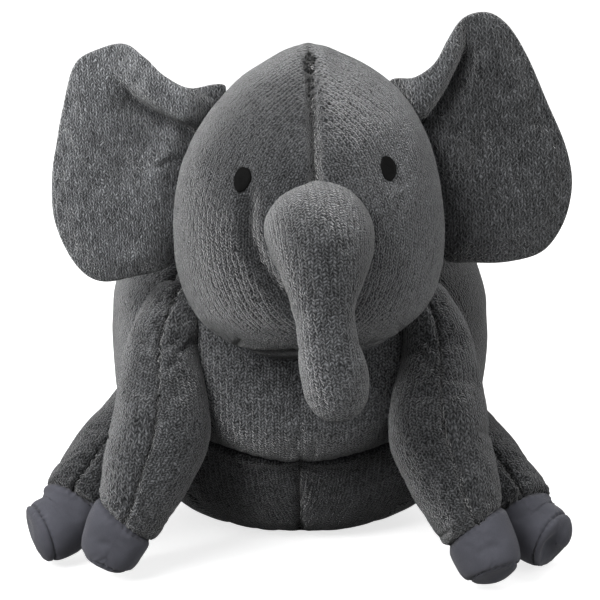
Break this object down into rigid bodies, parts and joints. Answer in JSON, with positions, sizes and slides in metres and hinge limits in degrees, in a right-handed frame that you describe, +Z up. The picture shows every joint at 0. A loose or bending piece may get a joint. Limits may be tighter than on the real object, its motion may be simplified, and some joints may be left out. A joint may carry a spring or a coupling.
{
  "type": "stuffed elephant",
  "caption": "Seated plush elephant in grey chenille knit, with big padded ears, a hanging stuffed trunk, floppy legs and smooth woven foot caps.",
  "frame": {"origin": "on the flat underside of the seat panel, under the rump", "axes": "+Z up, the elephant faces -Y, its viewer's-right side is +X"},
  "size_m": [0.2554, 0.2516, 0.2517],
  "materials": {
    "knit": "chenille knit with a soft pile, matt with a light sheen at grazing angles",
    "foot_fabric": "smooth fine twill, slate grey",
    "eye_thread": "dense black satin stitch",
    "thread": "dark grey sewing thread",
    "filling": "white polyester fibre",
    "pellets": "small plastic pellets in a cloth pouch"
  },
  "bodies": {
    "torso": {"torso_panel_left": "knit", "torso_panel_right": "knit", "belly_panel_left": "knit", "belly_panel_right": "knit", "chest_panel": "knit", "seat_panel": "knit", "torso_filling": "filling", "pellet_bag": "pellets", "closing_stitch": "thread"},
    "neck": {"neck_filling": "filling", "neck_stitch": "thread"},
    "head": {"head_panel_left": "knit", "head_panel_right": "knit", "chin_panel": "knit", "head_filling": "filling", "eye_left": "eye_thread", "eye_right": "eye_thread"},
    "trunk": {"trunk_top_panel": "knit", "trunk_underside": "knit", "trunk_filling": "filling"},
    "ear_left": {"ear_left_front": "knit", "ear_left_back": "knit", "ear_left_wadding": "filling"},
    "ear_right": {"ear_right_front": "knit", "ear_right_back": "knit", "ear_right_wadding": "filling"},
    "front_left_leg": {"front_left_leg_outer": "knit", "front_left_leg_inner": "knit", "front_left_foot_cap": "foot_fabric", "front_left_sole": "foot_fabric", "front_left_filling": "filling"},
    "front_right_leg": {"front_right_leg_outer": "knit", "front_right_leg_inner": "knit", "front_right_foot_cap": "foot_fabric", "front_right_sole": "foot_fabric", "front_right_filling": "filling"},
    "hind_left_leg": {"hind_left_leg_outer": "knit", "hind_left_leg_inner": "knit", "hind_left_foot_cap": "foot_fabric", "hind_left_sole": "foot_fabric", "hind_left_filling": "filling"},
    "hind_right_leg": {"hind_right_leg_outer": "knit", "hind_right_leg_inner": "knit", "hind_right_foot_cap": "foot_fabric", "hind_right_sole": "foot_fabric", "hind_right_filling": "filling"},
    "tail": {"tail_cover": "knit", "tail_filling": "filling"}
  },
  "joints": [
    {"name": "neck_turn", "type": "hinge", "parent": "torso", "child": "neck", "pos_m": [0, -0.048, 0.132], "axis": [0, -0.7071, 0.7071], "range_deg": [-15, 15], "stiffness_Nm_per_rad": 0.4},
    {"name": "head_nod", "type": "hinge", "parent": "neck", "child": "head", "pos_m": [0, -0.048, 0.132], "axis": [1, 0, 0], "range_deg": [-12, 8], "stiffness_Nm_per_rad": 0.8, "springref_deg": -1.72},
    {"name": "trunk_lift", "type": "hinge", "parent": "head", "child": "trunk", "pos_m": [0.00742, -0.14443, 0.16993], "axis": [-0.9957, -0.0696, -0.0611], "range_deg": [-10, 55], "stiffness_Nm_per_rad": 0.03},
    {"name": "ear_left_flap", "type": "hinge", "parent": "head", "child": "ear_left", "pos_m": [-0.05913, -0.0744, 0.17619], "axis": [0.1545, 0.0108, 0.9879], "range_deg": [-30, 30], "stiffness_Nm_per_rad": 0.02},
    {"name": "ear_right_flap", "type": "hinge", "parent": "head", "child": "ear_right", "pos_m": [0.06235, -0.0659, 0.18363], "axis": [0.2734, 0.0191, -0.9617], "range_deg": [-30, 30], "stiffness_Nm_per_rad": 0.02},
    {"name": "front_left_swing", "type": "hinge", "parent": "torso", "child": "front_left_leg", "pos_m": [-0.056, -0.082, 0.096], "axis": [-1, 0, 0], "range_deg": [-3, 55], "stiffness_Nm_per_rad": 0.06},
    {"name": "front_right_swing", "type": "hinge", "parent": "torso", "child": "front_right_leg", "pos_m": [0.056, -0.082, 0.096], "axis": [-1, 0, 0], "range_deg": [-3, 55], "stiffness_Nm_per_rad": 0.06},
    {"name": "hind_left_splay", "type": "hinge", "parent": "torso", "child": "hind_left_leg", "pos_m": [-0.09, -0.048, 0.044], "axis": [0, 0, -1], "range_deg": [-3, 35], "stiffness_Nm_per_rad": 0.06},
    {"name": "hind_right_splay", "type": "hinge", "parent": "torso", "child": "hind_right_leg", "pos_m": [0.09, -0.048, 0.044], "axis": [0, 0, 1], "range_deg": [-3, 35], "stiffness_Nm_per_rad": 0.06},
    {"name": "tail_lift", "type": "hinge", "parent": "torso", "child": "tail", "pos_m": [0, 0.0755, 0.047], "axis": [1, 0, 0], "range_deg": [0, 60]}
  ]
}
